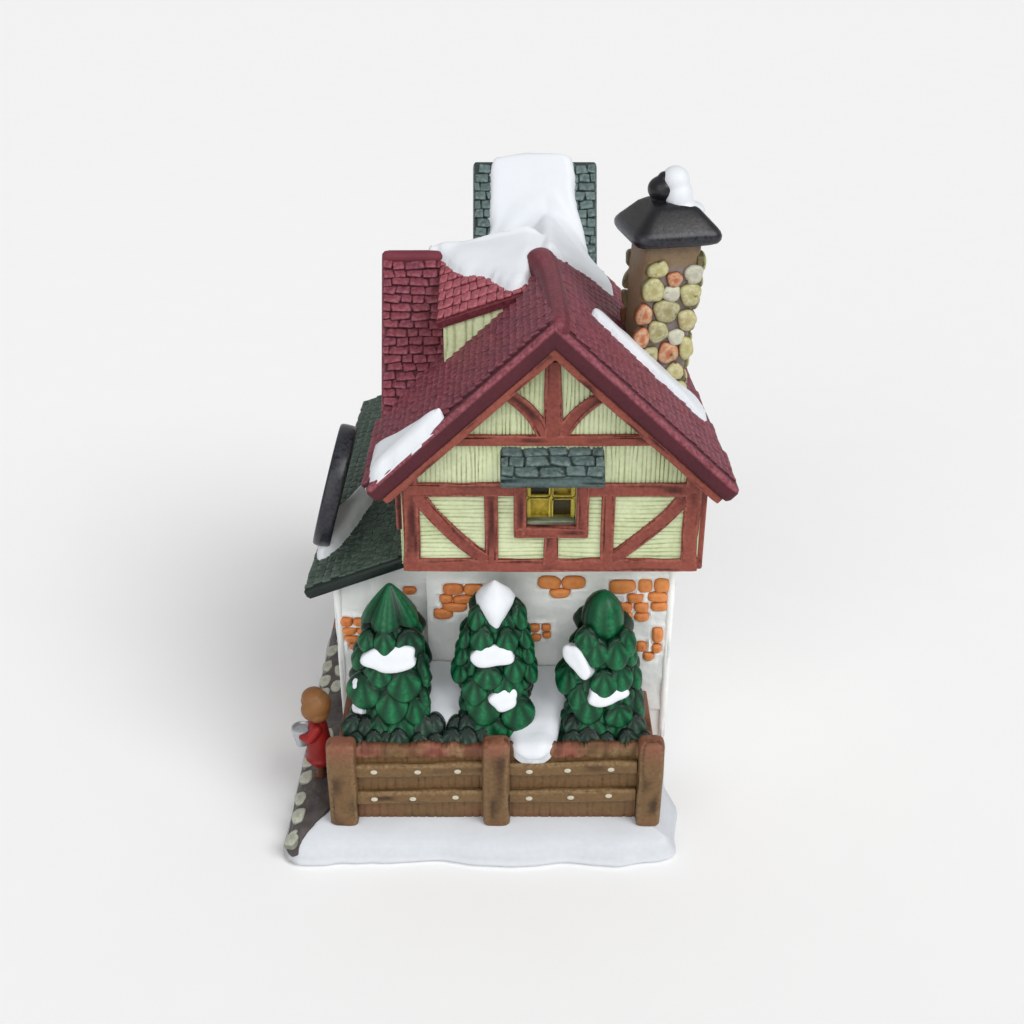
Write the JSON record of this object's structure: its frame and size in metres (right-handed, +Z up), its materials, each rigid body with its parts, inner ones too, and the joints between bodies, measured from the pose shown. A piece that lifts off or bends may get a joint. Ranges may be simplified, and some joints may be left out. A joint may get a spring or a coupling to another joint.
{
  "type": "ceramic christmas village house",
  "caption": "Snowy half-timbered ceramic village house with steep shingle roofs, stone chimney, clock, fir trees behind a fence, a small figure, and a clip-in lamp in its back wall.",
  "frame": {"origin": "on the table, under the middle of the object", "axes": "+Z up; the half-timbered gable side faces -Y, the door front faces -X and the lamp hole +X"},
  "size_m": [0.1423, 0.188, 0.2054],
  "materials": {
    "snow_glaze": "satin white glaze",
    "stucco": "matte off-white paint with grey wash",
    "siding": "satin pale green paint with dark wash in the grooves",
    "timber_paint": "satin red-brown paint with grain",
    "roof_maroon": "satin maroon paint, dry-brushed",
    "roof_slate": "satin slate-green paint, dry-brushed",
    "brick_paint": "satin orange paint",
    "fence_paint": "satin olive-brown paint",
    "fir_green": "gloss deep green paint",
    "hedge_green": "satin dark green paint",
    "stone_mortar": "matte grey paint",
    "stone_mix": "satin olive, orange and grey paint",
    "black_satin": "satin black paint",
    "dial_ivory": "satin ivory paint",
    "walk_grey": "matte grey paint",
    "paver_beige": "satin beige paint",
    "door_paint": "satin dark green paint",
    "window_yellow": "satin yellow paint",
    "pane_film": "translucent amber film",
    "coat_red": "satin red paint",
    "skin": "satin paint",
    "hair_brown": "satin brown paint",
    "boots_brown": "satin dark brown paint",
    "silver_paint": "satin silver paint",
    "lamp_plastic": "moulded white",
    "clip_steel": "spring steel",
    "cap_brass": "plain",
    "bulb_clear": "clear"
  },
  "bodies": {
    "house": {"snow_base": "snow_glaze", "garden_walk": "walk_grey", "walk_stones": "paver_beige", "lower_walls": "stucco", "wing_walls": "stucco", "upper_walls": "siding", "tower_walls": "stucco", "main_roof": "roof_maroon", "front_gable_roof": "roof_maroon", "tower_roof": "roof_slate", "wing_roof": "roof_slate", "dormer_roof": "roof_maroon", "dormer_walls": "siding", "barge_boards": "timber_paint", "timber_frame": "timber_paint", "timber_frame_front": "timber_paint", "timber_frame_back": "timber_paint", "side_window_surround": "timber_paint", "side_window_sash": "window_yellow", "front_window_surrounds": "timber_paint", "front_window_sashes": "window_yellow", "back_window_surrounds": "timber_paint", "back_window_sashes": "window_yellow", "window_panes": "pane_film", "window_awning": "roof_slate", "wall_bricks": "brick_paint", "chimney_stack": "stone_mortar", "chimney_stones": "stone_mix", "chimney_cap": "black_satin", "chimney_knob": "black_satin", "chimney_snow": "snow_glaze", "ridge_snow": "snow_glaze", "eave_snow": "snow_glaze", "slope_snow": "snow_glaze", "clock_rim": "black_satin", "clock_dial": "dial_ivory", "clock_marks": "black_satin", "clock_hands": "black_satin", "clock_snow": "snow_glaze", "fence_posts": "fence_paint", "fence_boards": "fence_paint", "fence_rails": "fence_paint", "planter_bed": "hedge_green", "planter_snow": "snow_glaze", "fir_tree_left": "fir_green", "fir_tree_middle": "fir_green", "fir_tree_right": "fir_green", "tree_snow": "snow_glaze", "door_surround": "timber_paint", "front_door": "door_paint", "door_step": "stone_mortar", "figure_boots": "boots_brown", "figure_coat": "coat_red", "figure_head": "skin", "figure_hair": "hair_brown", "figure_pail": "silver_paint"},
    "lamp": {"lamp_holder": "lamp_plastic", "lamp_clips": "clip_steel", "bulb_cap": "cap_brass", "bulb_glass": "bulb_clear"}
  },
  "joints": [
    {"name": "lamp_slide", "type": "slide", "parent": "house", "child": "lamp", "axis": [1, 0, 0], "range_m": [0, 0.06]}
  ]
}
